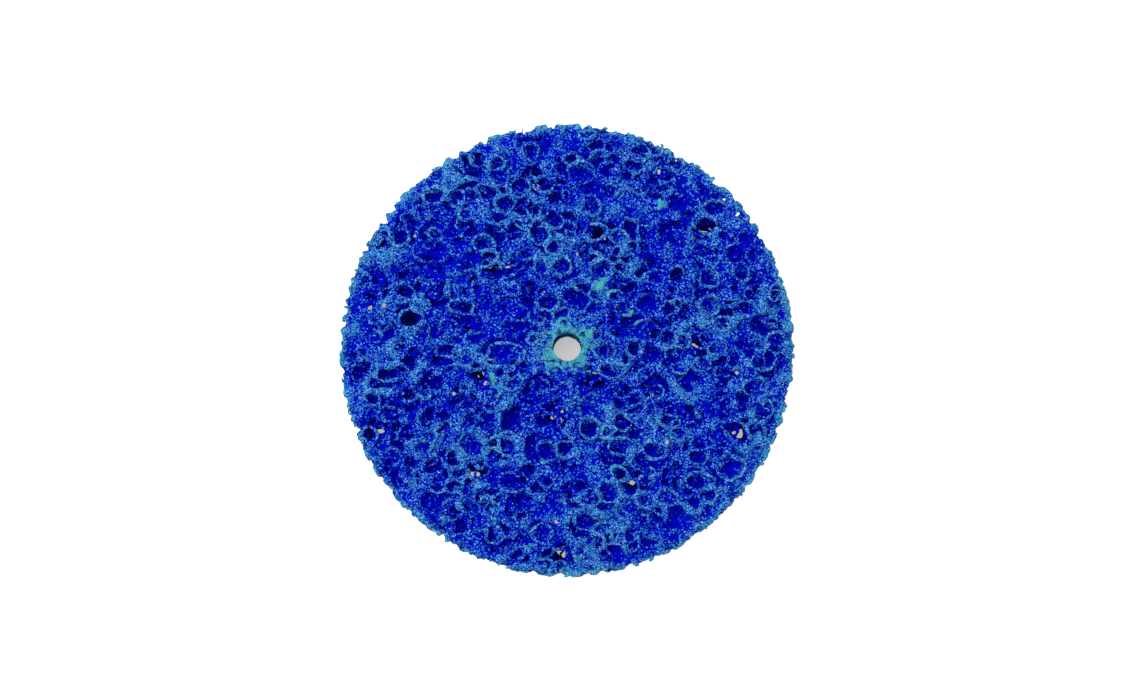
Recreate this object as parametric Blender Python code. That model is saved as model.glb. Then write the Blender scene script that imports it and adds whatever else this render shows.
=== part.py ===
"""Open-web stripping disc with a plain arbor bore, modelled at its real size in metres, +Z up.

The disc lies on its back face at Z = 0, with the bore's axis on Z. The web is one piece: a thick round
wall whose two faces are covered with tapered cells between narrow strands. Some cells of the front go
right through as gaps, and the cut rim has rows of pits where it opened the cells next to it.
"""

import math
import random

import bmesh
import bpy
from mathutils import Matrix, Vector

# Driving dimensions, in metres
DISC_DIAMETER = 0.1016
DISC_THICKNESS = 0.0127
BORE_DIAMETER = 0.00635
RIM_ROUNDING = 0.0012
HUB_LAND_DIAMETER = 0.0130
RIM_STRAND = 0.0010
CELL_PITCH = 0.0073
STRAND_WIDTH = 0.0013
CELL_WALL_LEAN = 0.0010
CORE_THICKNESS = 0.0030
GAP_WIDTH = 0.0017
RIM_PIT_WIDTH = 0.0056
RIM_PIT_DEPTH = 0.0017
CUTTER_OVERRUN = 0.0010

# Shape of the pattern, as shares of the sizes above and as counts
SHALLOWEST_CELL = 0.35
NARROWEST_CELL_FLOOR = 0.33
CELL_JITTER = 0.34
CELL_STRETCH = 0.35
CELL_REACH = 0.57
CELLS_PER_GAP = 10
SHALLOWEST_RIM_PIT = 0.6
NARROWEST_RIM_PIT = 0.65
RIM_PIT_TAPER = 0.67
RIM_PIT_JITTER = 0.3
RIM_PIT_ROWS = 2
RIM_PITS_IN_ROW = 40
CELL_SIDES = 8
RIM_PIT_SIDES = 6
ROUND_SIDES = 72
BORE_SIDES = 40
FRONT_SEED = 4
BACK_SEED = 5
RIM_SEED = 5

GOLDEN_ANGLE = math.pi * (3 - math.sqrt(5))
DISC_RADIUS = DISC_DIAMETER / 2
HUB_RADIUS = HUB_LAND_DIAMETER / 2
CELL_LIMIT = DISC_RADIUS - RIM_ROUNDING - RIM_STRAND
DEEPEST_CELL = (DISC_THICKNESS - CORE_THICKNESS) / 2

WEB_COLOUR = (0.004, 0.022, 0.42, 1.0)
WEB_ROUGHNESS = 0.62


def clear_scene():
    """Removes every object of the scene that the script starts in."""
    for obj in list(bpy.data.objects):
        bpy.data.objects.remove(obj)


def new_collection(name):
    """A collection of that name, linked to the scene."""
    collection = bpy.data.collections.new(name)
    bpy.context.scene.collection.children.link(collection)
    return collection


def web_material():
    """Nylon web with blue abrasive resin on it."""
    material = bpy.data.materials.new("abrasive_web_blue")
    material.use_nodes = True
    shader = material.node_tree.nodes["Principled BSDF"]
    shader.inputs["Base Color"].default_value = WEB_COLOUR
    shader.inputs["Roughness"].default_value = WEB_ROUGHNESS
    shader.inputs["Metallic"].default_value = 0.0
    return material


def object_from(shape, name, collection):
    """Turns a bmesh into an object of that name, with its faces pointing out."""
    bmesh.ops.recalc_face_normals(shape, faces=shape.faces)
    mesh = bpy.data.meshes.new(name)
    shape.to_mesh(mesh)
    shape.free()
    obj = bpy.data.objects.new(name, mesh)
    collection.objects.link(obj)
    return obj


def cutter_from(shape, name, collection):
    """A helper that only cuts the web, and isn't part of the disc."""
    cutter = object_from(shape, name, collection)
    cutter.hide_render = True
    cutter.display_type = "WIRE"
    return cutter


def is_level(edge):
    """True for an edge whose two ends are at one height."""
    low, high = (vertex.co.z for vertex in edge.verts)
    return math.isclose(low, high, abs_tol=1e-7)


def disc_blank():
    """The disc before its cells are cut: a cylinder with its two rim edges rounded over."""
    blank = bmesh.new()
    bmesh.ops.create_cone(
        blank,
        cap_ends=True,
        segments=ROUND_SIDES,
        radius1=DISC_RADIUS,
        radius2=DISC_RADIUS,
        depth=DISC_THICKNESS,
        matrix=Matrix.Translation((0, 0, DISC_THICKNESS / 2)),
    )
    bmesh.ops.bevel(
        blank,
        geom=[edge for edge in blank.edges if is_level(edge)],
        offset=RIM_ROUNDING,
        segments=2,
        profile=0.5,
        affect="EDGES",
        material=-1,
    )
    return blank


def bore_cutter(collection):
    """The plain bore for a mandrel, right through."""
    bore = bmesh.new()
    bmesh.ops.create_cone(
        bore,
        cap_ends=True,
        segments=BORE_SIDES,
        radius1=BORE_DIAMETER / 2,
        radius2=BORE_DIAMETER / 2,
        depth=DISC_THICKNESS + 2 * CUTTER_OVERRUN,
        matrix=Matrix.Translation((0, 0, DISC_THICKNESS / 2)),
    )
    return cutter_from(bore, "bore_cutter", collection)


def cell_centres(chance):
    """Points spread evenly between hub and rim along a sunflower spiral, then shaken out of line."""
    spacing = CELL_PITCH / math.sqrt(math.pi)
    shake = CELL_PITCH * CELL_JITTER
    centres = []
    for number in range(int((CELL_LIMIT / spacing) ** 2)):
        radius = spacing * math.sqrt(number)
        if radius < HUB_RADIUS + shake:
            continue
        around = number * GOLDEN_ANGLE
        on_spiral = Vector((radius * math.cos(around), radius * math.sin(around), 0))
        shaken = Vector((chance.uniform(-shake, shake), chance.uniform(-shake, shake), 0))
        centres.append(on_spiral + shaken)
    return centres


def trim(cell, point, outward):
    """Cuts a flat cell along the line through a point, and drops what lies outward of it."""
    bmesh.ops.bisect_plane(
        cell,
        geom=cell.verts[:] + cell.edges[:] + cell.faces[:],
        dist=1e-7,
        plane_co=point,
        plane_no=outward,
        clear_outer=True,
    )


def flat_cell(centre, centres, chance):
    """A stretched polygon, trimmed half a strand short of its neighbours, and clear of rim and hub."""
    cell = bmesh.new()
    longer = 1 + chance.uniform(0, CELL_STRETCH)
    turn = Matrix.Rotation(chance.uniform(0, math.pi), 4, "Z")
    stretch = Matrix.Diagonal((longer, 1 / longer, 1, 1))
    bmesh.ops.create_circle(
        cell,
        cap_ends=True,
        segments=CELL_SIDES,
        radius=CELL_PITCH * CELL_REACH,
        matrix=Matrix.Translation(centre) @ turn @ stretch,
    )
    for other in centres:
        apart = other - centre
        if 0 < apart.length < 2 * CELL_PITCH:
            outward = apart.normalized()
            trim(cell, centre + apart / 2 - outward * STRAND_WIDTH / 2, outward)
    outward = centre.normalized()
    trim(cell, outward * CELL_LIMIT, outward)
    trim(cell, outward * HUB_RADIUS, -outward)
    return cell


def deepen(cell, mouth, floor, floor_width):
    """Makes a flat cell a closed plug from mouth to floor. With no floor width, its walls lean a little."""
    bmesh.ops.translate(cell, verts=cell.verts, vec=(0, 0, mouth))
    made = bmesh.ops.extrude_face_region(cell, geom=cell.faces[:])["geom"]
    corners = [item for item in made if isinstance(item, bmesh.types.BMVert)]
    middle = sum((corner.co for corner in corners), Vector()) / len(corners)
    reach = sum((corner.co - middle).length for corner in corners) / len(corners)
    if floor_width:
        share = floor_width / 2 / reach
    else:
        share = max(1 - CELL_WALL_LEAN / reach, NARROWEST_CELL_FLOOR)
    for corner in corners:
        corner.co = middle + (corner.co - middle) * share
        corner.co.z = floor


def join_into(shape, piece):
    """Adds the faces of one bmesh to another, and frees the one that was added."""
    mesh = bpy.data.meshes.new("joined_piece")
    piece.to_mesh(mesh)
    piece.free()
    shape.from_mesh(mesh)
    bpy.data.meshes.remove(mesh)


def face_cutter(name, face_height, inward, seed, collection):
    """All the cells of one face, inward being -1 on the front and 1 on the back.

    On the front, one cell in a few narrows down to a gap that comes out of the back.
    """
    chance = random.Random(seed)
    centres = cell_centres(chance)
    cells = bmesh.new()
    for number, centre in enumerate(centres):
        cell = flat_cell(centre, centres, chance)
        depth = DEEPEST_CELL * chance.uniform(SHALLOWEST_CELL, 1)
        floor_width = None
        if inward < 0 and number % CELLS_PER_GAP == 0:
            depth = DISC_THICKNESS + CUTTER_OVERRUN
            floor_width = GAP_WIDTH
        if sum(face.calc_area() for face in cell.faces) < STRAND_WIDTH**2:
            cell.free()
            continue
        deepen(cell, face_height - inward * CUTTER_OVERRUN, face_height + inward * depth, floor_width)
        join_into(cells, cell)
    return cutter_from(cells, name, collection)


def rim_cutter(collection):
    """Tapered pits in staggered rows round the rim. Some of them break through its rounded edges."""
    chance = random.Random(RIM_SEED)
    pits = bmesh.new()
    outwards = Matrix.Rotation(math.pi / 2, 4, "Y")
    for row in range(RIM_PIT_ROWS):
        row_height = DISC_THICKNESS * (row + 0.5) / RIM_PIT_ROWS
        row_shift = row / RIM_PIT_ROWS
        for number in range(RIM_PITS_IN_ROW):
            step = number + row_shift + chance.uniform(-RIM_PIT_JITTER, RIM_PIT_JITTER)
            around = step * 2 * math.pi / RIM_PITS_IN_ROW
            height = row_height + RIM_PIT_WIDTH * chance.uniform(-RIM_PIT_JITTER, RIM_PIT_JITTER)
            depth = RIM_PIT_DEPTH * chance.uniform(SHALLOWEST_RIM_PIT, 1)
            width = RIM_PIT_WIDTH * chance.uniform(NARROWEST_RIM_PIT, 1)
            pit_middle = DISC_RADIUS - depth / 2 + CUTTER_OVERRUN / 2
            bmesh.ops.create_cone(
                pits,
                cap_ends=True,
                segments=RIM_PIT_SIDES,
                radius1=width / 2 * RIM_PIT_TAPER,
                radius2=width / 2,
                depth=depth + CUTTER_OVERRUN,
                matrix=Matrix.Rotation(around, 4, "Z")
                @ Matrix.Translation((pit_middle, 0, height))
                @ outwards
                @ Matrix.Rotation(chance.uniform(0, math.pi), 4, "Z"),
            )
    return cutter_from(pits, "rim_cutter", collection)


def cut(obj, cutter):
    """Cuts one helper out of the object with an exact Boolean."""
    boolean = obj.modifiers.new(cutter.name, "BOOLEAN")
    boolean.operation = "DIFFERENCE"
    boolean.solver = "EXACT"
    boolean.use_self = True
    boolean.object = cutter


def build_disc():
    """The abrasive web with its bore, cells, gaps and rim pits."""
    parts = new_collection("stripping_disc")
    cutters = new_collection("cutters")
    cutters.hide_render = True
    web = object_from(disc_blank(), "abrasive_web", parts)
    web.data.materials.append(web_material())
    cut(web, bore_cutter(cutters))
    cut(web, face_cutter("front_cell_cutter", DISC_THICKNESS, -1, FRONT_SEED, cutters))
    cut(web, face_cutter("back_cell_cutter", 0.0, 1, BACK_SEED, cutters))
    cut(web, rim_cutter(cutters))


clear_scene()
build_disc()
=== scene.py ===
"""Looks of the open-web stripping disc: fused fibre loops, abrasive grain and a plain studio.

Lengths are in metres and angles in radians. The disc lies at Z = 0, with its bore on the Z axis.
"""

import math
import random

import bmesh
import bpy
from bpy.props import FloatProperty, FloatVectorProperty, IntProperty, PointerProperty
from mathutils import Matrix, Vector, noise


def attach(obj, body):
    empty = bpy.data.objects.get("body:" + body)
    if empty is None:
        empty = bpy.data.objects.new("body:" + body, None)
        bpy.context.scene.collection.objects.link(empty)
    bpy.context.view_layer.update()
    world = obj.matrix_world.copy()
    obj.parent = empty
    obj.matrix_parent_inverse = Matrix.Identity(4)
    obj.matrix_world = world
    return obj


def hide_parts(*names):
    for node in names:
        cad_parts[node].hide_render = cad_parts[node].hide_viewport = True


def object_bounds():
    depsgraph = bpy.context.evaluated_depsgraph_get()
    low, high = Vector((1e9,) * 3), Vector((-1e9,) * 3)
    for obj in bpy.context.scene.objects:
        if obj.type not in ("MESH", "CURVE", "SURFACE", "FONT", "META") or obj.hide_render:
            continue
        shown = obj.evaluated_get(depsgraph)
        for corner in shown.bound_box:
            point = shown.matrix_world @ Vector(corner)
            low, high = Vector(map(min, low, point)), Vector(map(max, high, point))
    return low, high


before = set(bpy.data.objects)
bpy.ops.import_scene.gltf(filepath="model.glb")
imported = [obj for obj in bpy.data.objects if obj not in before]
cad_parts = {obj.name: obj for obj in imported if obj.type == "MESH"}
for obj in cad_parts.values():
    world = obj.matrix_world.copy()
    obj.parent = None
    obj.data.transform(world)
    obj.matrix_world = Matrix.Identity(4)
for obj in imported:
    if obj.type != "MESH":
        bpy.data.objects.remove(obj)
SOLID_LOW, SOLID_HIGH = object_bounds()

bl_info = {
    "name": "Open Web Disc",
    "version": (1, 0, 0),
    "blender": (4, 5, 0),
    "location": "3D View > Sidebar > Web Disc",
    "description": "Builds an open-web abrasive disc from fused fibre loops, with its studio",
    "category": "Object",
}

WEB_NODE = "abrasive_web"
WEB_FINISH = "grained_blue_resin"
BODY = "root"
GOLDEN_ANGLE = math.pi * (3 - math.sqrt(5))

# The photograph's frame, and where the disc lies in it, in pixels
PHOTO_WIDTH = 1140
PHOTO_HEIGHT = 696
PHOTO_DISC_WIDTH = 458
PHOTO_DISC_CENTRE = (567.0, 346.0)

# Small gaps right through the web in the photograph: middle and radius in pixels
GAP_SPOTS = (
    (577, 254, 2.0), (659, 172, 2.4), (724, 199, 1.7), (737, 214, 2.1),
    (605, 238, 1.6), (370, 308, 2.2), (384, 306, 2.4), (508, 267, 2.2),
    (454, 394, 2.0), (556, 522, 2.2), (667, 442, 2.2), (737, 373, 2.2),
    (415, 235, 2.2),
)

# Open cells that stand out in the photograph: middle, half width and half height in pixels
UPPER_LEFT_CELLS = (
    (518, 186, 12, 11), (486, 190, 11, 9), (504, 202, 11, 9), (496, 163, 10, 8),
    (433, 195, 12, 8), (456, 197, 9, 9), (421, 210, 8, 7), (538, 208, 12, 11),
    (530, 151, 9, 9), (546, 183, 10, 9), (499, 218, 15, 6), (398, 237, 10, 8),
    (433, 251, 20, 11), (483, 243, 12, 9), (466, 211, 8, 9), (554, 246, 9, 7),
    (460, 306, 14, 7), (548, 300, 12, 9), (541, 316, 12, 8), (447, 327, 9, 9),
    (421, 335, 8, 13), (402, 292, 11, 9), (410, 318, 13, 9), (541, 266, 6, 11),
    (475, 338, 11, 7),
)
UPPER_RIGHT_CELLS = (
    (581, 172, 14, 12), (608, 173, 11, 13), (634, 163, 10, 10), (666, 173, 10, 8),
    (676, 164, 9, 8), (573, 159, 9, 6), (597, 232, 12, 9), (619, 236, 9, 8),
    (700, 250, 13, 8), (716, 209, 15, 10), (705, 223, 13, 9), (655, 203, 8, 6),
    (724, 238, 10, 9), (560, 264, 11, 11), (602, 268, 11, 9), (596, 295, 7, 7),
    (615, 296, 8, 6), (649, 304, 14, 10), (624, 309, 8, 8), (639, 271, 12, 11),
    (658, 277, 13, 8), (709, 278, 10, 9), (742, 272, 9, 8), (642, 331, 8, 9),
    (709, 305, 11, 10), (744, 308, 12, 8), (686, 293, 9, 9), (722, 324, 10, 7),
    (668, 338, 9, 10), (683, 341, 8, 7),
)
LOWER_LEFT_CELLS = (
    (506, 354, 18, 12), (391, 372, 17, 9), (447, 350, 13, 8), (362, 370, 12, 10),
    (506, 373, 12, 6), (473, 444, 14, 12), (547, 451, 11, 11), (512, 482, 15, 11),
    (547, 479, 9, 8), (537, 489, 9, 8), (459, 473, 9, 7), (436, 484, 8, 8),
    (454, 486, 9, 8), (412, 462, 11, 8), (412, 475, 13, 7), (389, 457, 10, 9),
    (418, 446, 14, 7), (441, 428, 10, 8), (370, 436, 8, 9), (488, 504, 8, 8),
    (521, 517, 7, 8), (541, 534, 9, 9), (494, 534, 9, 10), (452, 511, 11, 11),
    (508, 443, 10, 12), (525, 542, 13, 8), (370, 397, 10, 9), (391, 415, 15, 7),
)
LOWER_RIGHT_CELLS = (
    (652, 352, 13, 14), (605, 350, 10, 10), (634, 348, 8, 9), (612, 369, 13, 9),
    (718, 348, 10, 8), (738, 360, 10, 9), (777, 342, 9, 10), (756, 387, 13, 9),
    (703, 363, 9, 7), (624, 447, 16, 9), (590, 428, 11, 10), (620, 421, 13, 10),
    (670, 421, 11, 7), (655, 450, 12, 9), (680, 433, 9, 8), (757, 430, 10, 10),
    (761, 409, 13, 10), (609, 492, 11, 10), (590, 497, 12, 9), (628, 487, 12, 10),
    (627, 508, 11, 11), (646, 500, 9, 9), (703, 444, 13, 8), (716, 452, 9, 7),
    (732, 467, 15, 12), (700, 481, 15, 9), (709, 495, 10, 8), (694, 504, 8, 10),
    (679, 516, 16, 14), (667, 498, 10, 7), (588, 519, 12, 11), (656, 517, 9, 10),
    (566, 449, 10, 9), (619, 473, 8, 8),
)
HUB_CELLS = (
    (594, 336, 8, 5), (545, 343, 5, 5), (559, 355, 5, 4), (548, 362, 8, 6),
    (579, 318, 9, 7), (531, 340, 5, 5), (590, 360, 7, 5), (576, 364, 6, 5),
    (556, 371, 8, 5),
)
PHOTO_CELLS = HUB_CELLS + UPPER_LEFT_CELLS + UPPER_RIGHT_CELLS + LOWER_LEFT_CELLS + LOWER_RIGHT_CELLS

# Bright pools of resin in the photograph, apart from the hub's: middle and radius in pixels
RESIN_POOLS = (
    (553, 352, 10), (583, 332, 11), (600, 286, 9), (609, 292, 7),
    (629, 317, 9), (639, 323, 6), (560, 318, 7), (492, 379, 6),
    (616, 466, 7), (661, 201, 6),
)


def bore_radius_of_solid():
    """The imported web's distance from the axis to the nearest of its corners."""
    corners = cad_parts[WEB_NODE].data.vertices
    return min(math.hypot(corner.co.x, corner.co.y) for corner in corners)


class WebDiscSizes(bpy.types.PropertyGroup):
    """Sizes of the web and its strands."""

    diameter: FloatProperty(
        name="Disc Diameter",
        description="Width of the round web",
        default=SOLID_HIGH.x - SOLID_LOW.x,
        unit="LENGTH",
    )
    thickness: FloatProperty(
        name="Disc Thickness",
        description="Height of the web from its back face to its front face",
        default=SOLID_HIGH.z - SOLID_LOW.z,
        unit="LENGTH",
    )
    bore_radius: FloatProperty(
        name="Bore Radius",
        description="Radius of the plain bore for the mandrel",
        default=bore_radius_of_solid(),
        unit="LENGTH",
    )
    rim_rounding: FloatProperty(
        name="Rim Rounding",
        description="Radius of the two worn edges of the rim",
        default=0.0012,
        unit="LENGTH",
    )
    strand_radius: FloatProperty(
        name="Strand Radius",
        description="Usual radius of a fibre strand with its coat of resin",
        default=0.00046,
        unit="LENGTH",
    )
    loop_radius: FloatProperty(
        name="Loop Radius",
        description="Usual radius of a curled strand",
        default=0.0020,
        unit="LENGTH",
    )
    loop_pitch: FloatProperty(
        name="Loop Pitch",
        description="Usual distance between the middles of neighbouring loops",
        default=0.0045,
        unit="LENGTH",
    )
    grain_size: FloatProperty(
        name="Grain Size",
        description="Width of one abrasive grain",
        default=0.00030,
        unit="LENGTH",
    )
    hub_radius: FloatProperty(
        name="Hub Radius",
        description="Radius of the resin-rich zone round the bore",
        default=0.0064,
        unit="LENGTH",
    )
    fineness: FloatProperty(
        name="Voxel Size",
        description="Cell size at which crossing strands are fused",
        default=0.00042,
        unit="LENGTH",
    )
    seed: IntProperty(
        name="Seed",
        description="Changes where every loop falls",
        default=3,
    )


class WebDiscColours(bpy.types.PropertyGroup):
    """Colours of the resin, from the deep pits to the brightest grains. The pit colour holds painted
    fill light, the ridge and glint colours hold painted highlights, and the resin colour also paints the
    highlight along the rim's edges.
    """

    # Painted fill light: this colour is lighter than the web colour, to lift the shade deep in the web
    pit_fill_light: FloatVectorProperty(
        name="Pit Colour",
        description="Resin deep inside the web",
        default=(0.0, 0.001, 0.45),
        subtype="COLOR",
    )
    web: FloatVectorProperty(
        name="Web Colour",
        description="Resin on most of the web",
        default=(0.0, 0.003, 0.30),
        subtype="COLOR",
    )
    # Real grain, brightened as a painted highlight on the lit tops of the strands
    ridge_grain_and_highlight: FloatVectorProperty(
        name="Ridge Colour",
        description="Grains on the tops of the strands",
        default=(0.045, 0.33, 0.48),
        subtype="COLOR",
    )
    # Painted highlights: specular glints on the grains, given as colour
    glint: FloatVectorProperty(
        name="Glint Colour",
        description="The brightest grains",
        default=(0.27, 0.62, 1.0),
        subtype="COLOR",
    )
    # Round the bore and in the pools this is resin; along the rim's edges the same colour is a painted
    # highlight
    resin: FloatVectorProperty(
        name="Resin Colour",
        description="Grains where resin has pooled, as round the bore and along the rim",
        default=(0.09, 0.53, 0.38),
        subtype="COLOR",
    )
    floor: FloatVectorProperty(
        name="Floor Colour",
        description="The studio floor under the lamps",
        default=(0.56, 0.56, 0.55),
        subtype="COLOR",
    )


class WebDiscStudio(bpy.types.PropertyGroup):
    """Camera and light."""

    camera_distance: FloatProperty(
        name="Camera Distance",
        description="From the camera to the middle of the front face",
        default=0.26,
        unit="LENGTH",
    )
    camera_tilt: FloatProperty(
        name="Camera Tilt",
        description="How far the camera leans off the bore's axis",
        default=math.radians(5.0),
        unit="ROTATION",
    )
    world_light: FloatProperty(
        name="World Light",
        description="Strength of the even light from all round",
        default=0.70,
    )
    lamp_power: FloatProperty(
        name="Lamp Power",
        description="Power of the soft lamp over the disc's upper left",
        default=7.5,
        subtype="POWER",
    )
    floor_glow: FloatProperty(
        name="Floor Glow",
        description="Light that the camera alone sees in the floor, which lifts its shadows",
        default=0.42,
    )
    floor_glow_outside: FloatProperty(
        name="Floor Glow Outside",
        description="The same light outside the disc, where the shadow stays pale",
        default=0.66,
    )


class StrandLayer:
    """One layer of loops: how deep it lies, how its loops are spread and shaped, and its name."""

    def __init__(self, name, depth, depth_spread, pitch, loop, strand, coarseness=1.0):
        self.name = name
        self.depth = depth
        self.depth_spread = depth_spread
        self.pitch = pitch
        self.loop = loop
        self.strand = strand
        self.coarseness = coarseness


# Depths in metres under the face. The other numbers are shares of the usual pitch, loop radius,
# strand radius and voxel size.
FACE_LAYERS = (
    StrandLayer("upper_loops", 0.0011, 0.0005, 1.0, 1.0, 1.0),
    StrandLayer("lower_loops", 0.0019, 0.0006, 1.15, 1.1, 1.1, 1.2),
    StrandLayer("deep_loops", 0.0038, 0.0010, 1.5, 1.4, 1.4, 1.6),
)
BACK_LAYERS = FACE_LAYERS[:2]

# What each group of pieces adds to the seed, so that no two fall alike
SEED_STEP = 100
FRONT_FIRST_NUMBER = 1
BACK_FIRST_NUMBER = 11
RIM_NUMBER = 50
HUB_NUMBER = 60
# Without a seed of its own, the vector noise differs from one run to the next
NOISE_SEED = 7

# Every curled strand
LOOP_SIDES = 18
LOOP_SIZE_SPREAD = 0.35
LOOP_STRETCH = 0.7
LOOP_TURN = math.radians(50)
LOOP_LEAN = 0.14
MOST_OPEN_SIDES = 4
SPOT_JITTER = 0.36
CURL_SIZE = 0.0030
CURL_REACH = 0.0007
KINK_SIZE = 0.0011
KINK_REACH = 0.00032
STRAND_SPREAD = 0.6
STRAND_SPREAD_RATE = 1.7
LUMP_SIZE = 0.0007
LUMP_HEIGHT = 0.00042

# The core, and the open cells in it
CORE_LUMP_SIZE = 0.0010
CORE_LUMP_HEIGHT = 0.0006
CRATER_SIZE = 0.0034
CRATER_DEPTH = 0.0027
CRATER_LEVEL = 0.62
CORE_WIDTH_SHARE = 0.999
CORE_HEIGHT_SHARE = 0.90
CORE_COARSENESS = 1.56
CELL_RING_DEPTHS = (0.45, 0.75)
CELL_PLUG_SIDES = 12
CELL_PLUG_DEPTH = 0.0080
CELL_FLOOR_SHARE = 0.12
# Loops keep out of a cell taken this many times as large, in the upper layer and under it
UPPER_CELL_REACH = 1.2
LOWER_CELL_REACH = 1.0

# The space that every piece is cut to, and the gaps through it
ENVELOPE_SIDES = 540
ENVELOPE_ROWS = 10
ROUNDING_STEPS = 3
RIM_ZONE = 0.95
RIM_BITE = 0.0026
RIM_BITE_SIZE = 0.0014
RIM_BITE_RUN = 0.35
RIM_BITE_SHARE = 0.10
GAP_ROUGHNESS = 0.00045
GAP_WIDTH_SPREAD = (0.7, 1.3)
GAP_SIDES = 7
GAP_OVERRUN = 0.002
MERGE_DISTANCE = 1e-6
SMALLEST_BIT = 60
SHARP_ANGLE = math.radians(55)

# The rim's loops
RIM_LOOPS_IN_ROW = 50
RIM_ROWS = 3
RIM_LOOP_SHIFT = 0.3
RIM_LOOP_RISE = 0.06
RIM_LOOP_INSETS = (0.7, 2.0)

# The small curls and beads round the bore
HUB_LOOPS = 14
HUB_LOOP_RADIUS = 0.0011
HUB_LOOP_SHIFT = 0.4
HUB_LOOP_DEPTHS = (0.9, 2.4)
HUB_STRAND_SHARE = 0.9
HUB_BEADS = 60
HUB_BEAD_RADIUS = 0.00062
HUB_BEAD_DEPTHS = (0.9, 2.2)
HUB_BEAD_CROWDING = 2
HUB_SIZE_SPREAD = (0.7, 1.5)
HUB_COARSENESS = 0.8

# The web's finish
SKIN_SPECULAR = 0.02
SKIN_FADE_DEPTH = 0.0030
# Painted highlight along the rim's two worn edges, drawn in the resin colour
RIM_HIGHLIGHT_WIDTH = 0.0022
RIM_HIGHLIGHT_SHARE = 0.95
POOL_RAGGED_SIZE = 0.0022
POOL_RAGGEDNESS = 3.2
POOL_SHARPNESS = 3.0
POOL_COVER = 0.95
PATCH_PITCHES = 3.2
PATCH_SWING = 1.0
# Grain cover grows steeply towards the skin: real grain, thickened into a painted highlight on the tops
# of the strands
COVER_STEEPNESS = 3.2
RIDGE_COVER = 0.66
PIT_COVER = 0.04
# Painted highlights: the glints' size and share of the grain cover
GLINT_SIZE_SHARE = 0.8
GLINT_SHARE = 0.22
RESIN_ROUGHNESS = 0.8
GRAIN_POLISH = 0.2
GRAIN_BUMP = 0.7
GRAIN_HEIGHT_SHARE = 0.4
GRAIN_PEAK = 1.25
GRAIN_SLOPE = 1.3
DULLEST_GRAIN = 0.45
PATCH_DETAIL = 4.0
POOL_DETAIL = 3.0

# The studio. The floor's extra glow starts at this share of the disc's diameter from its axis.
GLOW_EDGE = 0.47
FLOOR_HALF_WIDTH = 3.0
FLOOR_DROP = 0.00005
LAMP_WIDTH = 0.9
LAMP_PLACE = (-0.24, 0.22, 0.75)
CLIP_START = 0.005


def linked(obj, collection_name):
    """Puts an object in the collection of that name, which is made if it isn't there."""
    collection = bpy.data.collections.get(collection_name)
    if collection is None:
        collection = bpy.data.collections.new(collection_name)
        bpy.context.scene.collection.children.link(collection)
    collection.objects.link(obj)
    return obj


def object_of(shape, name, collection_name="web_disc"):
    """Turns a bmesh into a linked object of that name."""
    mesh = bpy.data.meshes.new(name)
    shape.to_mesh(mesh)
    shape.free()
    return linked(bpy.data.objects.new(name, mesh), collection_name)


def discard(obj):
    """Removes a helper object with its mesh."""
    mesh = obj.data
    bpy.data.objects.remove(obj)
    bpy.data.meshes.remove(mesh)


def converted(obj, kind):
    """Makes the object a curve or a mesh, and returns what it became."""
    for other in bpy.context.selected_objects:
        other.select_set(False)
    bpy.context.view_layer.objects.active = obj
    obj.select_set(True)
    bpy.ops.object.convert(target=kind)
    return bpy.context.view_layer.objects.active


def with_modifiers_applied(obj):
    """Makes what the object's modifiers give its own mesh."""
    depsgraph = bpy.context.evaluated_depsgraph_get()
    made = bpy.data.meshes.new_from_object(obj.evaluated_get(depsgraph))
    before = obj.data
    obj.modifiers.clear()
    obj.data = made
    made.name = obj.name
    bpy.data.meshes.remove(before)
    return obj


def camera_pose(sizes, studio):
    """The camera's place and turn: nearly over the disc, with the disc where the photograph has it."""
    back = Vector((0, -math.sin(studio.camera_tilt), math.cos(studio.camera_tilt)))
    scale = sizes.diameter / PHOTO_DISC_WIDTH
    right_of_disc = (PHOTO_WIDTH / 2 - PHOTO_DISC_CENTRE[0]) * scale
    above_disc = (PHOTO_DISC_CENTRE[1] - PHOTO_HEIGHT / 2) * scale
    aim = Vector((right_of_disc, above_disc, sizes.thickness))
    turn = (-back).to_track_quat("-Z", "Y").to_matrix().to_4x4()
    return Matrix.Translation(aim + back * studio.camera_distance) @ turn


def photo_ray(spot, sizes, studio):
    """The camera's place, and the direction in which it sees that pixel of the photograph."""
    pose = camera_pose(sizes, studio)
    pixel = sizes.diameter / PHOTO_DISC_WIDTH / studio.camera_distance
    seen = Vector(((spot[0] - PHOTO_WIDTH / 2) * pixel, (PHOTO_HEIGHT / 2 - spot[1]) * pixel, -1))
    return pose.translation, (pose.to_3x3() @ seen).normalized()


def photo_place(spot, sizes, studio):
    """The place on the front face that the camera sees at that pixel of the photograph."""
    eye, direction = photo_ray(spot, sizes, studio)
    return eye + direction * ((sizes.thickness - eye.z) / direction.z)


def photo_cells(sizes, studio):
    """The middle of each open cell of the photograph on the front face, with its half sizes."""
    scale = sizes.diameter / PHOTO_DISC_WIDTH
    return [
        (photo_place((column, row), sizes, studio), across * scale, up * scale)
        for column, row, across, up in PHOTO_CELLS
    ]


def chance_for(sizes, number):
    """The random draws of one group of pieces."""
    return random.Random(sizes.seed * SEED_STEP + number)


def spiral_spots(first, last, pitch, chance):
    """Places spread evenly along a sunflower spiral between two radii, then shaken out of line."""
    spacing = pitch / math.sqrt(math.pi)
    shake = pitch * SPOT_JITTER
    spots = []
    for number in range(int((last / spacing) ** 2)):
        radius = spacing * math.sqrt(number)
        if radius < first:
            continue
        around = number * GOLDEN_ANGLE
        shaken = Vector((chance.uniform(-shake, shake), chance.uniform(-shake, shake), 0))
        spots.append(Vector((radius * math.cos(around), radius * math.sin(around), 0)) + shaken)
    return spots


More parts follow.
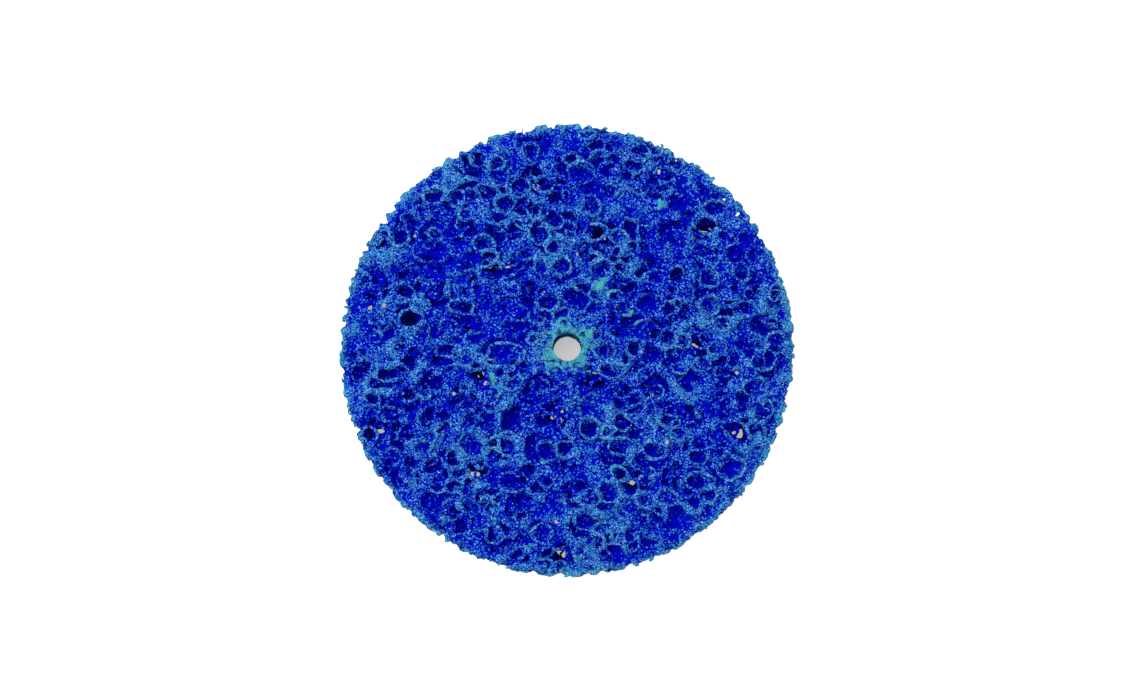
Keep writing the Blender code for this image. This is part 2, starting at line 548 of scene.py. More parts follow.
def add_loop(lines, place, radius, chance):
    """One curled strand's middle line: a stretched, leaning ring with part of it left open."""
    stretch = 1 + chance.uniform(0, LOOP_STRETCH)
    shape = (
        Matrix.Rotation(chance.uniform(-LOOP_TURN, LOOP_TURN), 4, "Z")
        @ Matrix.Rotation(chance.uniform(-LOOP_LEAN, LOOP_LEAN), 4, "X")
        @ Matrix.Rotation(chance.uniform(-LOOP_LEAN, LOOP_LEAN), 4, "Y")
        @ Matrix.Diagonal((math.sqrt(stretch), 1 / math.sqrt(stretch), 1, 1))
        @ Matrix.Rotation(chance.uniform(0, 2 * math.pi), 4, "Z")
    )
    ring = bmesh.ops.create_circle(lines, segments=LOOP_SIDES, radius=radius, matrix=place @ shape)
    left_open = chance.randint(0, MOST_OPEN_SIDES)
    if left_open:
        bmesh.ops.delete(lines, geom=ring["verts"][:left_open], context="VERTS")


def add_cell_rings(lines, cells, depth, chance):
    """The strand that curls round each open cell, just outside its edge."""
    for middle, across, up in cells:
        lean = Matrix.Rotation(chance.uniform(-LOOP_LEAN, LOOP_LEAN), 4, "X")
        shape = lean @ Matrix.Diagonal((across, up, 1, 1))
        place = Matrix.Translation(middle - Vector((0, 0, depth * chance.uniform(*CELL_RING_DEPTHS))))
        bmesh.ops.create_circle(lines, segments=LOOP_SIDES, radius=1.0, matrix=place @ shape)


def in_a_cell(spot, cells, reach):
    """Whether the spot lies in one of the cells, taken that many times as large."""
    return any(
        math.hypot((spot.x - middle.x) / across, (spot.y - middle.y) / up) < reach
        for middle, across, up in cells
    )


def curl(lines, shift):
    """Bends all middle lines with a slow curl and a quick kink."""
    noise.seed_set(NOISE_SEED)
    for vert in lines.verts:
        slow = noise.noise_vector(vert.co / CURL_SIZE + shift)
        quick = noise.noise_vector(vert.co / KINK_SIZE + shift)
        vert.co += slow * CURL_REACH + quick * KINK_REACH


def strands_from(lines, name, radius):
    """Round strands of uneven thickness along the lines, as one mesh."""
    line_mesh = object_of(lines, name)
    before = line_mesh.data
    strands = converted(line_mesh, "CURVE")
    bpy.data.meshes.remove(before)
    strands.data.bevel_depth = radius
    strands.data.bevel_resolution = 1
    strands.data.use_fill_caps = True
    for spline in strands.data.splines:
        for point in spline.points:
            where = Vector(point.co[:3]) / CURL_SIZE
            point.radius = 1 + STRAND_SPREAD * noise.noise(where * STRAND_SPREAD_RATE)
    line_curve = strands.data
    made = converted(strands, "MESH")
    bpy.data.curves.remove(line_curve)
    return made


def fused(obj, voxel):
    """Fuses all that crosses in the object into one skin, as resin does."""
    remesh = obj.modifiers.new("fused", "REMESH")
    remesh.mode = "VOXEL"
    remesh.voxel_size = voxel * 1.0
    return with_modifiers_applied(obj)


def roughened(obj, kind, size, height, level=0.5):
    """Pushes the object's skin out and in by a pattern: CLOUDS for lumps and VORONOI for craters."""
    pattern = bpy.data.textures.new(f"{obj.name}_{kind.lower()}", kind)
    pattern.noise_scale = size
    displace = obj.modifiers.new("pattern", "DISPLACE")
    displace.texture = pattern
    displace.texture_coords = "LOCAL"
    displace.strength = height
    displace.mid_level = level
    return with_modifiers_applied(obj)


def near_rim(vert, sizes):
    """Whether the corner lies at the envelope's rim and not at its bore."""
    return math.hypot(vert.co.x, vert.co.y) > sizes.diameter / 2 * RIM_ZONE


def bite_in(vert, sizes):
    """Draws one corner of the rim towards the axis, so that the outline has knobs and notches."""
    place = Vector((vert.co.x, vert.co.y, vert.co.z * RIM_BITE_RUN)) / RIM_BITE_SIZE
    bite = max(0.0, noise.noise(place) + RIM_BITE_SHARE)
    # The four places where the disc is widest keep its full size
    off_axis = min(abs(vert.co.x), abs(vert.co.y)) / RIM_BITE_SIZE
    share = 1 - bite * RIM_BITE * min(1.0, off_axis) / (sizes.diameter / 2)
    vert.co.x *= share
    vert.co.y *= share


def disc_envelope(sizes):
    """The space that the web is cut to: a disc with worn, knobby rim edges and its bore."""
    envelope = bmesh.new()
    outline = [(sizes.bore_radius, sizes.thickness), (sizes.bore_radius, 0)]
    outline += [
        (sizes.diameter / 2, sizes.thickness * row / ENVELOPE_ROWS)
        for row in range(ENVELOPE_ROWS + 1)
    ]
    corners = [envelope.verts.new((radius, 0, height)) for radius, height in outline]
    profile = [
        envelope.edges.new((corners[step - 1], corners[step]))
        for step in range(len(corners))
    ]
    bmesh.ops.spin(
        envelope,
        geom=corners + profile,
        cent=(0, 0, 0),
        axis=(0, 0, 1),
        angle=2 * math.pi,
        steps=ENVELOPE_SIDES,
        use_merge=True,
    )
    bmesh.ops.remove_doubles(envelope, verts=envelope.verts, dist=MERGE_DISTANCE)
    lowest = min(vert.co.z for vert in envelope.verts)
    highest = max(vert.co.z for vert in envelope.verts)
    rim_edges = [
        edge
        for edge in envelope.edges
        if edge.verts[0].co.z == edge.verts[1].co.z
        and edge.verts[0].co.z in (lowest, highest)
        and all(near_rim(vert, sizes) for vert in edge.verts)
    ]
    bmesh.ops.bevel(
        envelope,
        geom=rim_edges,
        offset=sizes.rim_rounding,
        segments=ROUNDING_STEPS,
        profile=0.5,
        affect="EDGES",
        material=-1,
    )
    for vert in envelope.verts:
        if near_rim(vert, sizes):
            bite_in(vert, sizes)
    bmesh.ops.recalc_face_normals(envelope, faces=envelope.faces)
    return object_of(envelope, "disc_envelope", "helpers")


def gap_pins(sizes, studio):
    """Thin uneven pins, one through each small gap, along the line in which the camera sees it."""
    chance = random.Random(sizes.seed)
    pins = bmesh.new()
    scale = sizes.diameter / PHOTO_DISC_WIDTH
    for column, row, radius in GAP_SPOTS:
        eye, direction = photo_ray((column, row), sizes, studio)
        width = radius * scale
        middle = eye + direction * ((sizes.thickness / 2 - eye.z) / direction.z)
        along = direction.to_track_quat("Z", "Y").to_matrix().to_4x4()
        across = (chance.uniform(*GAP_WIDTH_SPREAD), chance.uniform(*GAP_WIDTH_SPREAD))
        bmesh.ops.create_cone(
            pins,
            cap_ends=True,
            segments=GAP_SIDES,
            radius1=width,
            radius2=width,
            depth=sizes.thickness / abs(direction.z) + GAP_OVERRUN,
            matrix=Matrix.Translation(middle) @ along @ Matrix.Diagonal((*across, 1, 1)),
        )
    noise.seed_set(NOISE_SEED)
    for vert in pins.verts:
        vert.co += noise.noise_vector(vert.co / KINK_SIZE) * GAP_ROUGHNESS
    return object_of(pins, "gap_pins", "helpers")


def cell_plugs(cells):
    """A tapering plug for each open cell, which cuts its bowl into the core."""
    plugs = bmesh.new()
    for middle, across, up in cells:
        bmesh.ops.create_cone(
            plugs,
            cap_ends=True,
            segments=CELL_PLUG_SIDES,
            radius1=CELL_FLOOR_SHARE,
            radius2=1.0,
            depth=CELL_PLUG_DEPTH,
            matrix=Matrix.Translation(middle) @ Matrix.Diagonal((across, up, 1, 1)),
        )
    return object_of(plugs, "cell_plugs", "helpers")


def carved(obj, helper, operation):
    """Keeps what the object shares with the helper, or takes the helper's shape from it."""
    boolean = obj.modifiers.new(helper.name, "BOOLEAN")
    boolean.solver = "MANIFOLD"
    boolean.operation = operation
    boolean.object = helper
    made = with_modifiers_applied(obj)
    discard(helper)
    return made


def cut_to_disc(obj, sizes, studio):
    """Cuts the object to the disc's envelope, and opens its gaps."""
    carved(obj, disc_envelope(sizes), "INTERSECT")
    return carved(obj, gap_pins(sizes, studio), "DIFFERENCE")


def without_crumbs(obj, smallest):
    """Drops the bits of the object that have fewer faces than that."""
    shape = bmesh.new()
    shape.from_mesh(obj.data)
    left = set(shape.faces)
    while left:
        island = [left.pop()]
        for face in island:
            for edge in face.edges:
                for other in edge.link_faces:
                    if other in left:
                        left.remove(other)
                        island.append(other)
        if len(island) < smallest:
            bmesh.ops.delete(shape, geom=island, context="FACES")
    shape.to_mesh(obj.data)
    shape.free()
    return obj


def dressed(obj, material):
    """Gives a web piece its finish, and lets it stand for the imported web."""
    obj.data.materials.clear()
    obj.data.materials.append(material)
    obj.data.shade_smooth()
    obj.data.set_sharp_from_angle(angle=SHARP_ANGLE)
    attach(obj, BODY)
    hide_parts(WEB_NODE)
    return obj


def finished_strands(strands, sizes, studio, coarseness, material):
    """Fuses, roughens and cuts a mesh of strands, and gives it its finish."""
    fused(strands, sizes.fineness * coarseness)
    roughened(strands, "CLOUDS", LUMP_SIZE, LUMP_HEIGHT)
    cut_to_disc(strands, sizes, studio)
    without_crumbs(strands, SMALLEST_BIT)
    return dressed(strands, material)


def add_face_layer(side, layer, number, sizes, studio, material):
    """One fused layer of loops under a face. Side is 1 at the front and -1 at the back."""
    chance = chance_for(sizes, number)
    middle = sizes.thickness / 2
    cells = photo_cells(sizes, studio) if side > 0 else []
    upper = layer is FACE_LAYERS[0]
    cell_reach = UPPER_CELL_REACH if upper else LOWER_CELL_REACH
    lines = bmesh.new()
    if upper:
        add_cell_rings(lines, cells, layer.depth, chance)
    for spot in spiral_spots(
        sizes.bore_radius + sizes.strand_radius,
        sizes.diameter / 2,
        sizes.loop_pitch * layer.pitch,
        chance,
    ):
        depth = layer.depth + chance.uniform(-layer.depth_spread, layer.depth_spread)
        size = 1 + chance.uniform(-LOOP_SIZE_SPREAD, LOOP_SIZE_SPREAD)
        if in_a_cell(spot, cells, cell_reach):
            continue
        place = Matrix.Translation(spot + Vector((0, 0, middle + side * (middle - depth))))
        add_loop(lines, place, sizes.loop_radius * layer.loop * size, chance)
    curl(lines, Vector((number, 0, 0)))
    face = "front" if side > 0 else "back"
    strands = strands_from(lines, f"{face}_{layer.name}", sizes.strand_radius * layer.strand)
    return finished_strands(strands, sizes, studio, layer.coarseness, material)


def add_core(sizes, studio, material):
    """The web's inside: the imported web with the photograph's cells, drawn in a little and cratered."""
    shape = bmesh.new()
    shape.from_mesh(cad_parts[WEB_NODE].data)
    bmesh.ops.remove_doubles(shape, verts=shape.verts, dist=MERGE_DISTANCE)
    core = object_of(shape, "web_core")
    carved(core, cell_plugs(photo_cells(sizes, studio)), "DIFFERENCE")
    middle = Matrix.Translation((0, 0, sizes.thickness / 2))
    shrink = Matrix.Diagonal((CORE_WIDTH_SHARE, CORE_WIDTH_SHARE, CORE_HEIGHT_SHARE, 1))
    core.data.transform(middle @ shrink @ middle.inverted())
    fused(core, sizes.fineness * CORE_COARSENESS)
    roughened(core, "VORONOI", CRATER_SIZE, CRATER_DEPTH, CRATER_LEVEL)
    roughened(core, "CLOUDS", CORE_LUMP_SIZE, CORE_LUMP_HEIGHT)
    cut_to_disc(core, sizes, studio)
    without_crumbs(core, SMALLEST_BIT)
    return dressed(core, material)


def add_rim(sizes, studio, material):
    """Loops that lie in the cut rim."""
    chance = chance_for(sizes, RIM_NUMBER)
    lines = bmesh.new()
    radius = sizes.diameter / 2
    upright = Matrix.Rotation(math.pi / 2, 4, "X")
    for row in range(RIM_ROWS):
        row_height = sizes.thickness * (row + 0.5) / RIM_ROWS
        for number in range(RIM_LOOPS_IN_ROW):
            shift = chance.uniform(-RIM_LOOP_SHIFT, RIM_LOOP_SHIFT)
            turn = (number + row / RIM_ROWS + shift) / RIM_LOOPS_IN_ROW
            height = row_height + chance.uniform(-1, 1) * sizes.thickness * RIM_LOOP_RISE
            inset = radius - sizes.strand_radius * chance.uniform(*RIM_LOOP_INSETS)
            place = (
                Matrix.Rotation(turn * 2 * math.pi - math.pi / 2, 4, "Z")
                @ Matrix.Translation((0, inset, height))
                @ upright
            )
            size = sizes.loop_radius * (1 + chance.uniform(-LOOP_SIZE_SPREAD, LOOP_SIZE_SPREAD))
            add_loop(lines, place, size, chance)
    curl(lines, Vector((RIM_NUMBER, 0, 0)))
    strands = strands_from(lines, "rim_loops", sizes.strand_radius)
    return finished_strands(strands, sizes, studio, 1.0, material)


def add_hub(side, sizes, studio, material):
    """The resin-rich zone round the bore on one face: small curls and beads, fused together."""
    chance = chance_for(sizes, HUB_NUMBER + side)
    middle = sizes.thickness / 2
    inner = sizes.bore_radius + sizes.strand_radius
    cells = photo_cells(sizes, studio) if side > 0 else []
    lines = bmesh.new()
    for number in range(HUB_LOOPS):
        shift = chance.uniform(-HUB_LOOP_SHIFT, HUB_LOOP_SHIFT)
        around = (number + shift) * 2 * math.pi / HUB_LOOPS
        away = chance.uniform(inner, sizes.hub_radius)
        height = middle + side * (middle - sizes.strand_radius * chance.uniform(*HUB_LOOP_DEPTHS))
        spot = Vector((away * math.cos(around), away * math.sin(around), height))
        if in_a_cell(spot, cells, LOWER_CELL_REACH):
            continue
        place = Matrix.Translation(spot)
        add_loop(lines, place, HUB_LOOP_RADIUS * chance.uniform(*HUB_SIZE_SPREAD), chance)
    name = "front_hub_resin" if side > 0 else "back_hub_resin"
    strands = strands_from(lines, name, sizes.strand_radius * HUB_STRAND_SHARE)
    shape = bmesh.new()
    shape.from_mesh(strands.data)
    for number in range(HUB_BEADS):
        around = chance.uniform(0, 2 * math.pi)
        away = inner + (sizes.hub_radius - inner) * chance.random() ** HUB_BEAD_CROWDING
        bead = HUB_BEAD_RADIUS * chance.uniform(*HUB_SIZE_SPREAD)
        height = middle + side * (middle - bead * chance.uniform(*HUB_BEAD_DEPTHS))
        spot = Vector((away * math.cos(around), away * math.sin(around), height))
        if in_a_cell(spot, cells, LOWER_CELL_REACH):
            continue
        place = Matrix.Translation(spot)
        bmesh.ops.create_icosphere(shape, subdivisions=1, radius=bead, matrix=place)
    shape.to_mesh(strands.data)
    shape.free()
    return finished_strands(strands, sizes, studio, HUB_COARSENESS, material)


def new_group(name, inputs, outputs):
    """An empty shader node group with its sockets, and its two end nodes."""
    group = bpy.data.node_groups.new(name, "ShaderNodeTree")
    for socket_name, kind in inputs:
        group.interface.new_socket(socket_name, in_out="INPUT", socket_type=kind)
    for socket_name, kind in outputs:
        group.interface.new_socket(socket_name, in_out="OUTPUT", socket_type=kind)
    start = group.nodes.new("NodeGroupInput")
    end = group.nodes.new("NodeGroupOutput")
    return group, start, end


def math_node(tree, operation, first, second=None, clamp=False):
    """A Math node fed by sockets or plain numbers. Returns its output."""
    node = tree.nodes.new("ShaderNodeMath")
    node.operation = operation
    node.use_clamp = clamp
    for socket, value in zip(node.inputs, (first, second)):
        if isinstance(value, bpy.types.NodeSocket):
            tree.links.new(value, socket)
        elif value is not None:
            socket.default_value = value
    return node.outputs[0]


def mix_colour(tree, share, first, second):
    """A colour between two others. Each may be a socket or a plain colour. Returns its output."""
    node = tree.nodes.new("ShaderNodeMix")
    node.data_type = "RGBA"
    tree.links.new(share, node.inputs["Factor"])
    # Sockets 6 and 7 are the node's two colours
    for socket, value in ((node.inputs[6], first), (node.inputs[7], second)):
        if isinstance(value, bpy.types.NodeSocket):
            tree.links.new(value, socket)
        else:
            socket.default_value = (*value, 1.0)
    return node.outputs[2]


def skin_depth_group(sizes):
    """How near a point lies to the disc's skin and to its rim's edges: 1 there, and 0 deeper in. The
    finish uses it for painted fill light deep in, painted highlights on the tops and a painted highlight
    along the rim's edges.
    """
    group, start, end = new_group(
        "Skin Depth",
        (
            ("Vector", "NodeSocketVector"),
            ("Fade Depth", "NodeSocketFloat"),
            ("Rim Width", "NodeSocketFloat"),
        ),
        (("Nearness", "NodeSocketFloat"), ("Rim Nearness", "NodeSocketFloat")),
    )
    place = group.nodes.new("ShaderNodeSeparateXYZ")
    group.links.new(start.outputs["Vector"], place.inputs[0])
    x, y, height = place.outputs
    squares = math_node(
        group,
        "ADD",
        math_node(group, "MULTIPLY", x, x),
        math_node(group, "MULTIPLY", y, y),
    )
    from_axis = math_node(group, "SQRT", squares)
    under_front = math_node(group, "SUBTRACT", sizes.thickness, height)
    under_face = math_node(group, "MINIMUM", under_front, height)
    under_rim = math_node(group, "SUBTRACT", sizes.diameter / 2, from_axis)
    under_skin = math_node(group, "MINIMUM", under_face, under_rim)
    share = math_node(group, "DIVIDE", under_skin, start.outputs["Fade Depth"])
    nearness = math_node(group, "SUBTRACT", 1.0, share, clamp=True)
    rim_share = math_node(group, "DIVIDE", under_rim, start.outputs["Rim Width"])
    face_share = math_node(group, "DIVIDE", under_face, start.outputs["Fade Depth"])
    rim_nearness = math_node(group, "SUBTRACT", 1.0, rim_share, clamp=True)
    face_nearness = math_node(group, "SUBTRACT", 1.0, face_share, clamp=True)
    edge_nearness = math_node(group, "MULTIPLY", rim_nearness, face_nearness)
    group.links.new(nearness, end.inputs["Nearness"])
    group.links.new(edge_nearness, end.inputs["Rim Nearness"])
    return group


def resin_pool_group(sizes, studio):
    """Where resin pooled, with ragged edges: round the bore, and at the photograph's bright places."""
    group, start, end = new_group(
        "Resin Pools",
        (
            ("Vector", "NodeSocketVector"),
            ("Ragged Size", "NodeSocketFloat"),
            ("Raggedness", "NodeSocketFloat"),
        ),
        (("Pool", "NodeSocketFloat"),),
    )
    scale = sizes.diameter / PHOTO_DISC_WIDTH
    front = Vector((0, 0, sizes.thickness))
    places = [(front, sizes.hub_radius), (Vector((0, 0, 0)), sizes.hub_radius)]
    places += [
        (photo_place((column, row), sizes, studio), radius * scale)
        for column, row, radius in RESIN_POOLS
    ]
    pool = None
    for middle, radius in places:
        away = group.nodes.new("ShaderNodeVectorMath")
        away.operation = "DISTANCE"
        group.links.new(start.outputs["Vector"], away.inputs[0])
        away.inputs[1].default_value = middle
        share = math_node(group, "DIVIDE", away.outputs["Value"], radius)
        here = math_node(group, "SUBTRACT", 1.0, share)
        pool = here if pool is None else math_node(group, "MAXIMUM", pool, here)
    ragged = group.nodes.new("ShaderNodeTexNoise")
    ragged.inputs["Detail"].default_value = POOL_DETAIL
    group.links.new(start.outputs["Vector"], ragged.inputs["Vector"])
    ragged_scale = math_node(group, "DIVIDE", 1.0, start.outputs["Ragged Size"])
    group.links.new(ragged_scale, ragged.inputs["Scale"])
    swing = math_node(group, "SUBTRACT", ragged.outputs["Fac"], 0.5)
    uneven = math_node(group, "MULTIPLY", swing, start.outputs["Raggedness"])
    ragged_pool = math_node(group, "ADD", pool, uneven)
    sharper = math_node(group, "MULTIPLY", ragged_pool, POOL_SHARPNESS, clamp=True)
    group.links.new(sharper, end.inputs["Pool"])
    return group


def grain_group():
    """Abrasive grains bonded over the strands: a mask that shows more of them where Cover is high. The
    finish colours them bright, as painted highlights.
    """
    group, start, end = new_group(
        "Abrasive Grain",
        (
            ("Vector", "NodeSocketVector"),
            ("Grain Size", "NodeSocketFloat"),
            ("Cover", "NodeSocketFloat"),
        ),
        (("Grains", "NodeSocketFloat"), ("Height", "NodeSocketFloat")),
    )
    scale = math_node(group, "DIVIDE", 1.0, start.outputs["Grain Size"])
    cells = group.nodes.new("ShaderNodeTexVoronoi")
    group.links.new(start.outputs["Vector"], cells.inputs["Vector"])
    group.links.new(scale, cells.inputs["Scale"])
    chance = group.nodes.new("ShaderNodeSeparateColor")
    group.links.new(cells.outputs["Color"], chance.inputs[0])
    shown = math_node(group, "LESS_THAN", chance.outputs[0], start.outputs["Cover"])
    slope = math_node(group, "MULTIPLY", cells.outputs["Distance"], GRAIN_SLOPE)
    round_grain = math_node(group, "SUBTRACT", GRAIN_PEAK, slope, clamp=True)
    spread = math_node(group, "MULTIPLY", chance.outputs[1], 1 - DULLEST_GRAIN)
    brightness = math_node(group, "ADD", DULLEST_GRAIN, spread)
    bright_grain = math_node(group, "MULTIPLY", round_grain, brightness)
    grains = math_node(group, "MULTIPLY", shown, bright_grain, clamp=True)
    group.links.new(grains, end.inputs["Grains"])
    group.links.new(round_grain, end.inputs["Height"])
    return group


def add_group(tree, group, **values):
    """Places a node group in a tree, with sockets linked and plain values set by name."""
    node = tree.nodes.new("ShaderNodeGroup")
    node.node_tree = group
    for name, value in values.items():
        socket = node.inputs[name.replace("_", " ")]
        if isinstance(value, bpy.types.NodeSocket):
            tree.links.new(value, socket)
        else:
            socket.default_value = value
    return node


def web_material(name, sizes, colours):
    """Blue resin with abrasive grain, whose bright speckle is painted highlight: thick on the ridges,
    thin in the bowls, and pale in the pools. Deep in, the lighter pit colour is painted fill light, and
    along the rim's edges the resin colour is a painted highlight.
    """
    material = bpy.data.materials.new(name)
    material.use_nodes = True
    tree = material.node_tree
    shader = tree.nodes["Principled BSDF"]
    shader.inputs["Metallic"].default_value = 0.0
    shader.inputs["Specular IOR Level"].default_value = SKIN_SPECULAR
    coordinates = tree.nodes.new("ShaderNodeTexCoord").outputs["Object"]
    depth = add_group(
        tree,
        bpy.data.node_groups["Skin Depth"],
        Vector=coordinates,
        Fade_Depth=SKIN_FADE_DEPTH,
        Rim_Width=RIM_HIGHLIGHT_WIDTH,
    )
    pools = add_group(
        tree,
        bpy.data.node_groups["Resin Pools"],
        Vector=coordinates,
        Ragged_Size=POOL_RAGGED_SIZE,
        Raggedness=POOL_RAGGEDNESS,
    )
    patches = tree.nodes.new("ShaderNodeTexNoise")
    patches.inputs["Scale"].default_value = 1 / (PATCH_PITCHES * sizes.loop_pitch)
    patches.inputs["Detail"].default_value = PATCH_DETAIL
    tree.links.new(coordinates, patches.inputs["Vector"])
    swing = math_node(tree, "SUBTRACT", patches.outputs["Fac"], 0.5)
    uneven = math_node(tree, "MULTIPLY", swing, PATCH_SWING)
    tone = math_node(tree, "ADD", depth.outputs["Nearness"], uneven, clamp=True)
    # Painted highlight along the rim's worn edges, joined with the real resin pools
    rim_highlight = math_node(tree, "MULTIPLY", depth.outputs["Rim Nearness"], RIM_HIGHLIGHT_SHARE)
    pooled = math_node(tree, "MAXIMUM", pools.outputs["Pool"], rim_highlight)
    # More bright grain near the skin: painted highlight on the tops, over the real grain
    steep_tone = math_node(tree, "POWER", tone, COVER_STEEPNESS)
    thinned = math_node(tree, "MULTIPLY", steep_tone, RIDGE_COVER)
    cover = math_node(tree, "ADD", thinned, PIT_COVER)
    pool_cover = math_node(tree, "MULTIPLY", pooled, POOL_COVER)
    rich_cover = math_node(tree, "ADD", cover, pool_cover)
    grains = add_group(
        tree,
        bpy.data.node_groups["Abrasive Grain"],
        Vector=coordinates,
        Grain_Size=sizes.grain_size,
        Cover=rich_cover,
    )
    # Painted glints: specular highlights on the grains, given as bright colour specks
    glints = add_group(
        tree,
        bpy.data.node_groups["Abrasive Grain"],
        Vector=coordinates,
        Grain_Size=sizes.grain_size * GLINT_SIZE_SHARE,
        Cover=math_node(tree, "MULTIPLY", rich_cover, GLINT_SHARE),
    )
    # Web colour at the skin, lighter pit colour deeper in: painted fill light in the deep web, with the
    # patches' random tone on top
    resin_and_fill_colour = mix_colour(tree, tone, colours.pit_fill_light, colours.web)
    grain_colour = mix_colour(tree, pooled, colours.ridge_grain_and_highlight, colours.resin)
    grained = mix_colour(tree, grains.outputs["Grains"], resin_and_fill_colour, grain_colour)
    glint_colour = mix_colour(tree, pooled, colours.glint, colours.resin)
    glinting = mix_colour(tree, glints.outputs["Grains"], grained, glint_colour)
    tree.links.new(glinting, shader.inputs["Base Color"])
    polish = math_node(tree, "MULTIPLY", grains.outputs["Grains"], GRAIN_POLISH)
    rough = math_node(tree, "SUBTRACT", RESIN_ROUGHNESS, polish)
    tree.links.new(rough, shader.inputs["Roughness"])
    bump = tree.nodes.new("ShaderNodeBump")
    bump.inputs["Strength"].default_value = GRAIN_BUMP
    bump.inputs["Distance"].default_value = sizes.grain_size * GRAIN_HEIGHT_SHARE
    tree.links.new(grains.outputs["Height"], bump.inputs["Height"])
    tree.links.new(bump.outputs["Normal"], shader.inputs["Normal"])
    return material


def web_finish():
    """The web's material, made the first time that a piece asks for it."""
    scene = bpy.context.scene
    material = bpy.data.materials.get(WEB_FINISH)
    if material is None:
        skin_depth_group(scene.web_disc_sizes)
        resin_pool_group(scene.web_disc_sizes, scene.web_disc_studio)
        grain_group()
        material = web_material(WEB_FINISH, scene.web_disc_sizes, scene.web_disc_colours)
    return material


def web_settings():
    """The sizes, the studio and the finish, which every piece of the web takes."""
    scene = bpy.context.scene
    return scene.web_disc_sizes, scene.web_disc_studio, web_finish()


class WEBDISC_OT_core(bpy.types.Operator):
    """Add the rough inside of the web"""

    bl_idname = "web_disc.core"
    bl_label = "Web Core"

    def execute(self, context):
        add_core(*web_settings())
        return {"FINISHED"}


class WEBDISC_OT_front_loops(bpy.types.Operator):
    """Add the layers of loops under the front face"""

    bl_idname = "web_disc.front_loops"
    bl_label = "Front Loops"

    def execute(self, context):
        for number, layer in enumerate(FACE_LAYERS, FRONT_FIRST_NUMBER):
            add_face_layer(1, layer, number, *web_settings())
        return {"FINISHED"}


class WEBDISC_OT_back_loops(bpy.types.Operator):
    """Add the layers of loops under the back face"""

    bl_idname = "web_disc.back_loops"
    bl_label = "Back Loops"

    def execute(self, context):
        for number, layer in enumerate(BACK_LAYERS, BACK_FIRST_NUMBER):
            add_face_layer(-1, layer, number, *web_settings())
        return {"FINISHED"}


class WEBDISC_OT_rim_loops(bpy.types.Operator):
    """Add the loops that lie in the cut rim"""

    bl_idname = "web_disc.rim_loops"
    bl_label = "Rim Loops"

    def execute(self, context):
        add_rim(*web_settings())
        return {"FINISHED"}


class WEBDISC_OT_hub_resin(bpy.types.Operator):
    """Add the resin-rich collar round the bore on both faces"""

    bl_idname = "web_disc.hub_resin"
    bl_label = "Hub Resin"

    def execute(self, context):
        for side in (1, -1):
            add_hub(side, *web_settings())
        return {"FINISHED"}


def background_rays(tree):
    """A share that is 1 for the rays that show the background: straight, mirrored and through glass."""
    rays = tree.nodes.new("ShaderNodeLightPath").outputs
    straight = math_node(tree, "ADD", rays["Is Camera Ray"], rays["Is Glossy Ray"], clamp=True)
    return math_node(tree, "ADD", straight, rays["Is Transmission Ray"], clamp=True)


def floor_material(colours, sizes, studio):
    """A pale matt floor. The camera sees extra light in it, and more of it outside the disc."""
    material = bpy.data.materials.new("studio_floor")
    material.use_nodes = True
    tree = material.node_tree
    shader = tree.nodes["Principled BSDF"]
    shader.inputs["Base Color"].default_value = (*colours.floor, 1.0)
    shader.inputs["Roughness"].default_value = 1.0
    shader.inputs["Specular IOR Level"].default_value = 0.0
    shader.inputs["Emission Color"].default_value = (1.0, 1.0, 1.0, 1.0)
    from_axis = tree.nodes.new("ShaderNodeVectorMath")
    from_axis.operation = "LENGTH"
    tree.links.new(tree.nodes.new("ShaderNodeTexCoord").outputs["Object"], from_axis.inputs[0])
    outside = math_node(tree, "GREATER_THAN", from_axis.outputs["Value"], sizes.diameter * GLOW_EDGE)
    extra = math_node(tree, "MULTIPLY", outside, studio.floor_glow_outside - studio.floor_glow)
    level = math_node(tree, "ADD", extra, studio.floor_glow)
    glow = math_node(tree, "MULTIPLY", background_rays(tree), level)
    tree.links.new(glow, shader.inputs["Emission Strength"])
    return material


class WEBDISC_OT_studio(bpy.types.Operator):
    """Add the floor, the even world light, the soft lamp and the camera"""

    bl_idname = "web_disc.studio"
    bl_label = "Studio"

    def execute(self, context):
        sizes = context.scene.web_disc_sizes
        studio = context.scene.web_disc_studio
        add_floor(context.scene.web_disc_colours, sizes, studio)
        add_world(studio)
        add_lamp(sizes, studio)
        add_camera(sizes, studio)
        context.scene.view_settings.view_transform = "Standard"
        return {"FINISHED"}


def add_floor(colours, sizes, studio):
    """A wide floor just under the disc."""
    shape = bmesh.new()
    bmesh.ops.create_grid(
        shape,
        x_segments=1,
        y_segments=1,
        size=FLOOR_HALF_WIDTH,
        matrix=Matrix.Translation((0, 0, -FLOOR_DROP)),
    )
    floor = object_of(shape, "studio_floor", "studio")
    floor.data.materials.append(floor_material(colours, sizes, studio))


def add_world(studio):
    """Even light from all round, which the camera sees as white."""
    world = bpy.data.worlds.new("studio_world")
    world.use_nodes = True
    tree = world.node_tree
    background = tree.nodes["Background"]
    background.inputs["Color"].default_value = (1.0, 1.0, 1.0, 1.0)
    lift = math_node(tree, "MULTIPLY", background_rays(tree), 1 - studio.world_light)
    strength = math_node(tree, "ADD", lift, studio.world_light)
    tree.links.new(strength, background.inputs["Strength"])
    bpy.context.scene.world = world


def add_lamp(sizes, studio):
    """A large soft lamp over the upper left of the disc."""
    lamp = bpy.data.lights.new("soft_lamp", "AREA")
    lamp.shape = "DISK"
    lamp.size = LAMP_WIDTH
    lamp.energy = studio.lamp_power
    obj = linked(bpy.data.objects.new("soft_lamp", lamp), "studio")
    obj.location = LAMP_PLACE
    aim = Vector((0, 0, sizes.thickness)) - obj.location
    obj.rotation_euler = aim.to_track_quat("-Z", "Y").to_euler()


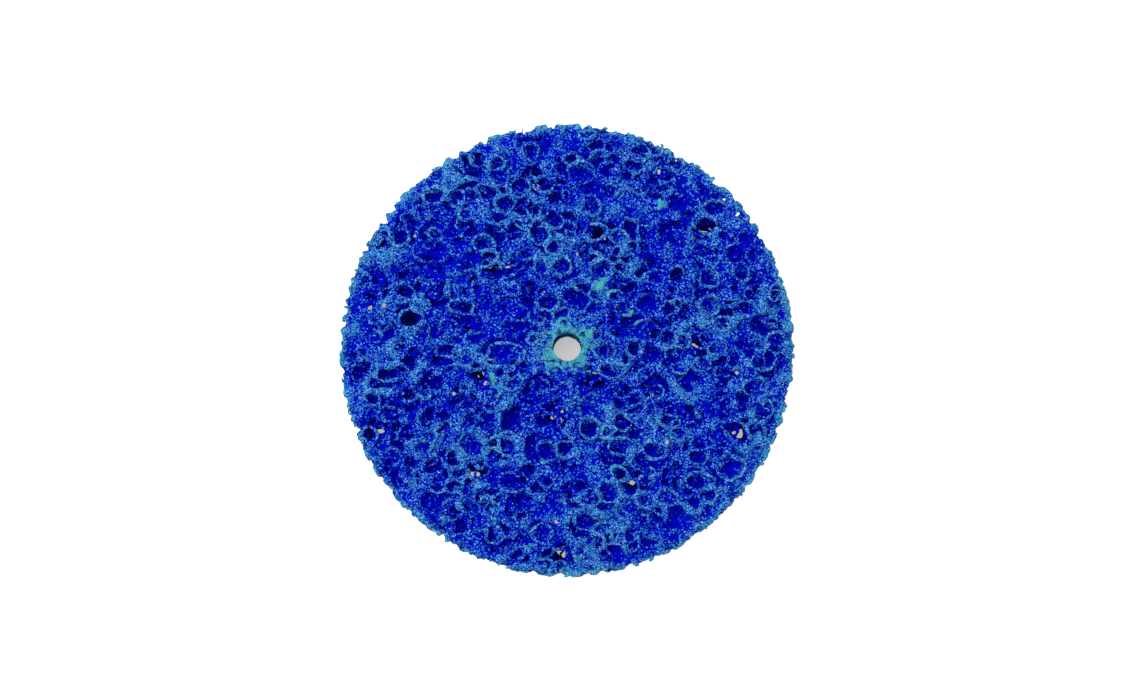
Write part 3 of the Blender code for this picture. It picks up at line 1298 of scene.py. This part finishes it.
def add_camera(sizes, studio):
    """The camera, nearly over the disc, which fills as much of the frame as in the photograph."""
    camera = bpy.data.cameras.new("camera")
    share_of_frame = PHOTO_DISC_WIDTH / PHOTO_WIDTH
    camera.lens = camera.sensor_width * share_of_frame * studio.camera_distance / sizes.diameter
    camera.clip_start = CLIP_START
    obj = linked(bpy.data.objects.new("camera", camera), "studio")
    obj.matrix_world = camera_pose(sizes, studio)
    bpy.context.scene.camera = obj


class WEBDISC_PT_panel(bpy.types.Panel):
    """The disc's sizes, colours and studio, and a button for each group of pieces"""

    bl_idname = "WEBDISC_PT_panel"
    bl_label = "Open Web Disc"
    bl_space_type = "VIEW_3D"
    bl_region_type = "UI"
    bl_category = "Web Disc"

    def draw(self, context):
        layout = self.layout
        for group_name in SETTINGS:
            group = getattr(context.scene, group_name)
            box = layout.box()
            for prop in group.bl_rna.properties:
                if prop.identifier not in ("rna_type", "name"):
                    box.prop(group, prop.identifier)
        for operator in OPERATORS:
            layout.operator(operator.bl_idname)


SETTINGS = {
    "web_disc_sizes": WebDiscSizes,
    "web_disc_colours": WebDiscColours,
    "web_disc_studio": WebDiscStudio,
}
OPERATORS = (
    WEBDISC_OT_core,
    WEBDISC_OT_front_loops,
    WEBDISC_OT_back_loops,
    WEBDISC_OT_rim_loops,
    WEBDISC_OT_hub_resin,
    WEBDISC_OT_studio,
)
CLASSES = (*SETTINGS.values(), *OPERATORS, WEBDISC_PT_panel)


def register():
    """Registers every class, and puts the settings on the scene."""
    for cls in CLASSES:
        bpy.utils.register_class(cls)
    for name, group in SETTINGS.items():
        setattr(bpy.types.Scene, name, PointerProperty(type=group))


def unregister():
    """Takes the settings off the scene, and removes every class."""
    for name in SETTINGS:
        delattr(bpy.types.Scene, name)
    for cls in reversed(CLASSES):
        bpy.utils.unregister_class(cls)


def main():
    """Builds the whole scene in order."""
    register()
    bpy.ops.web_disc.core()
    bpy.ops.web_disc.front_loops()
    bpy.ops.web_disc.back_loops()
    bpy.ops.web_disc.rim_loops()
    bpy.ops.web_disc.hub_resin()
    bpy.ops.web_disc.studio()


if __name__ == "__main__":
    main()
